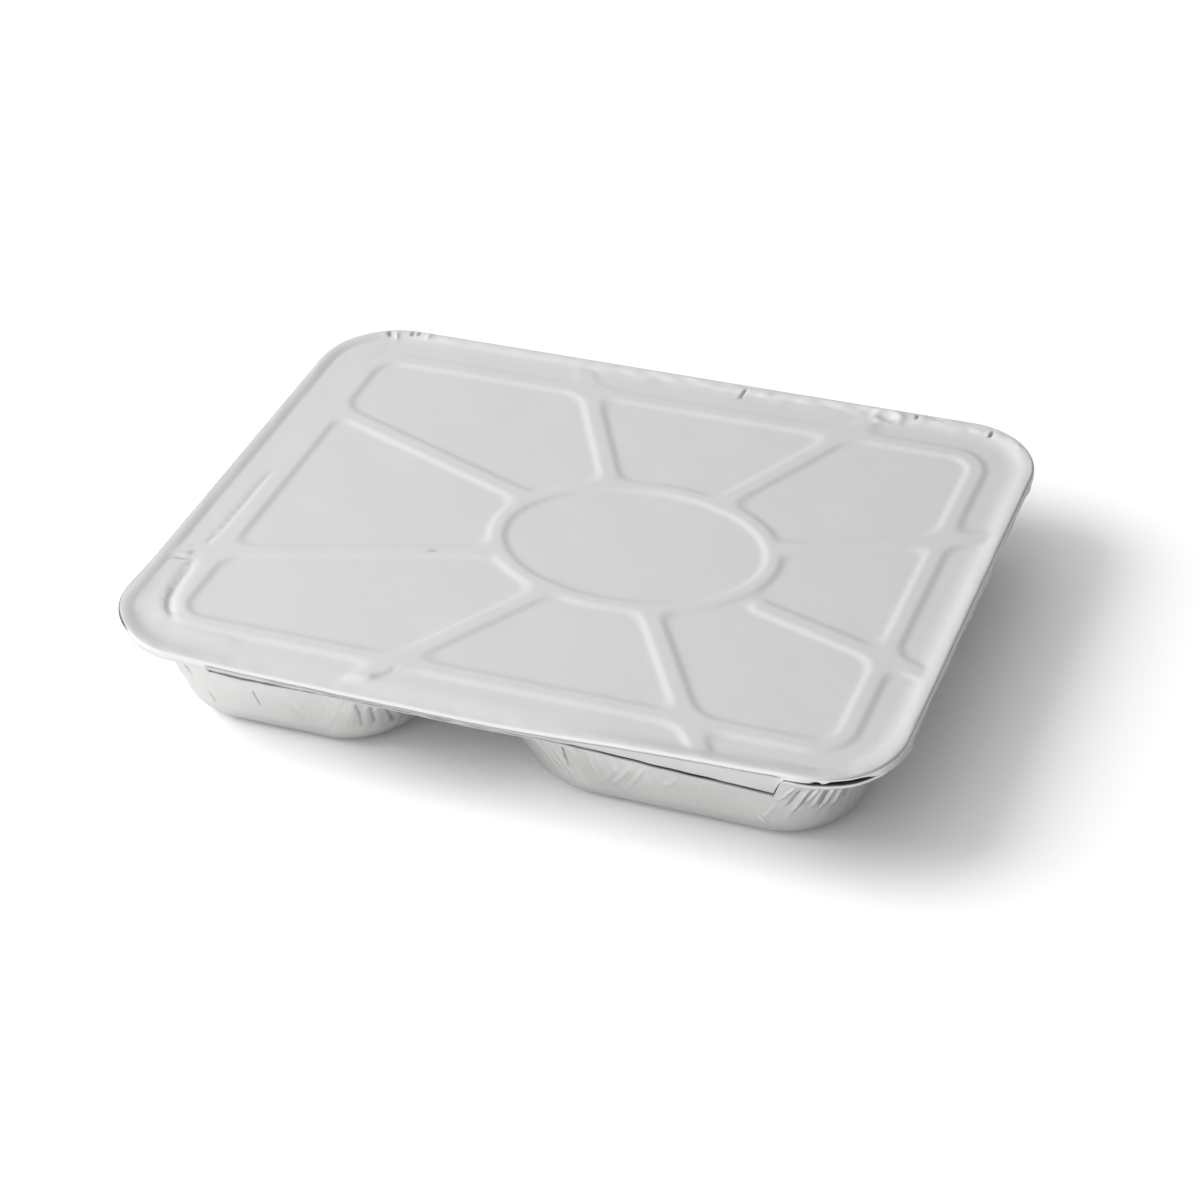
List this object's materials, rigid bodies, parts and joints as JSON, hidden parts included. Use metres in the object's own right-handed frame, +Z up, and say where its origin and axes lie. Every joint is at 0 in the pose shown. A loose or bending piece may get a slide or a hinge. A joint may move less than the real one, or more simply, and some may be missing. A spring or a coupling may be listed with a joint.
{
  "type": "foil food container",
  "caption": "Rectangular pressed foil menu tray with rounded pleated corners and a rolled rim, closed by a ribbed foil lid folded down over the rim.",
  "frame": {"origin": "on the table under the middle of the closed container", "axes": "+X along the long side, +Y from the front to the back, +Z up"},
  "size_m": [0.227, 0.177, 0.032],
  "materials": {
    "tray_foil": "satin pressed foil, wrinkled at the corners",
    "lid_foil": "matt side of satin foil, embossed"
  },
  "bodies": {
    "root": {"foil_tray": "tray_foil", "foil_lid": "lid_foil"}
  },
  "joints": []
}
